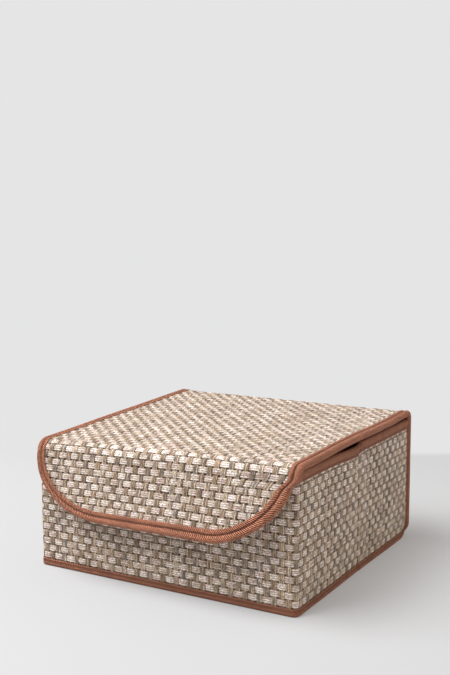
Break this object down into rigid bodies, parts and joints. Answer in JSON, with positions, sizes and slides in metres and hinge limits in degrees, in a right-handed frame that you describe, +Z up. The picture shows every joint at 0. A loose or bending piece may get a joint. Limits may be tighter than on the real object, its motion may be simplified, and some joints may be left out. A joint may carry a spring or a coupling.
{
  "type": "woven lidded box",
  "caption": "Square storage box of basket-woven cloth over card, bound with twill tape, with a cloth-hinged lid, a rounded front flap and creased sides that fold flat.",
  "frame": {"origin": "middle of the woven bottom's underside, on the surface that the box stands on", "axes": "+Z up, -Y out of the front with the flap, +X to the right as seen from the front"},
  "size_m": [0.311, 0.3137, 0.1487],
  "materials": {
    "woven": "matte woven strands",
    "tape": "matte twill",
    "card": "matte card",
    "lining": "matte nonwoven"
  },
  "bodies": {
    "base": {"back_panel": "woven", "back_board": "card", "back_lining": "lining", "back_binding": "tape", "bottom_panel": "woven", "bottom_lining": "lining", "rear_fold_cloth": "woven", "rear_fold_lining": "lining", "rear_fold_binding_right": "tape", "rear_fold_binding_left": "tape"},
    "right_rear": {"right_rear_panel": "woven", "right_rear_board": "card", "right_rear_lining": "lining", "right_rear_rim_tape": "tape", "right_rear_foot_tape": "tape"},
    "right_front": {"right_front_panel": "woven", "right_front_board": "card", "right_front_lining": "lining", "right_front_rim_tape": "tape", "right_front_foot_tape": "tape"},
    "front": {"front_panel": "woven", "front_board": "card", "front_lining": "lining", "front_rim_tape": "tape", "front_foot_tape": "tape"},
    "left_rear": {"left_rear_panel": "woven", "left_rear_board": "card", "left_rear_lining": "lining", "left_rear_rim_tape": "tape", "left_rear_foot_tape": "tape"},
    "left_front": {"left_front_panel": "woven", "left_front_board": "card", "left_front_lining": "lining", "left_front_rim_tape": "tape", "left_front_foot_tape": "tape"},
    "lid": {"lid_panel": "woven", "lid_board": "card", "lid_lining": "lining", "lid_binding_right": "tape", "lid_binding_left": "tape", "front_fold_cloth": "woven", "front_fold_lining": "lining", "front_fold_binding_right": "tape", "front_fold_binding_left": "tape"},
    "flap": {"flap_panel": "woven", "flap_board": "card", "flap_lining": "lining", "flap_binding": "tape"}
  },
  "joints": [
    {"name": "lid_hinge", "type": "hinge", "parent": "base", "child": "lid", "pos_m": [0, 0.14516, 0.14516], "axis": [-1, 0, 0], "range_deg": [0, 178], "deforming": ["rear_fold_cloth", "rear_fold_lining", "rear_fold_binding_right", "rear_fold_binding_left"]},
    {"name": "flap_fold", "type": "hinge", "parent": "lid", "child": "flap", "pos_m": [0, -0.15203, 0.14445], "axis": [-1, 0, 0], "range_deg": [0, 178], "deforming": ["front_fold_cloth", "front_fold_lining", "front_fold_binding_right", "front_fold_binding_left"]},
    {"name": "side_fold", "type": "hinge", "parent": "base", "child": "right_rear", "pos_m": [0.1463, 0.1413, 0], "axis": [0, 0, 1], "range_deg": [-88, 0], "deforming": ["bottom_panel", "bottom_lining"]},
    {"name": "right_crease", "type": "hinge", "parent": "right_rear", "child": "right_front", "pos_m": [0.154, 0, 0], "axis": [0, 0, 1], "range_deg": [0, 176]},
    {"name": "right_front_corner", "type": "hinge", "parent": "right_front", "child": "front", "pos_m": [0.1463, -0.1413, 0], "axis": [0, 0, 1], "range_deg": [-88, 0]},
    {"name": "left_rear_corner", "type": "hinge", "parent": "base", "child": "left_rear", "pos_m": [-0.1463, 0.1413, 0], "axis": [0, 0, 1], "range_deg": [0, 88]},
    {"name": "left_crease", "type": "hinge", "parent": "left_rear", "child": "left_front", "pos_m": [-0.154, 0, 0], "axis": [0, 0, 1], "range_deg": [-176, 0]}
  ],
  "couplings": [
    {"joint": "right_crease", "follows": "side_fold", "ratio": -2},
    {"joint": "right_front_corner", "follows": "side_fold", "ratio": 1},
    {"joint": "left_rear_corner", "follows": "side_fold", "ratio": -1},
    {"joint": "left_crease", "follows": "side_fold", "ratio": 2}
  ]
}
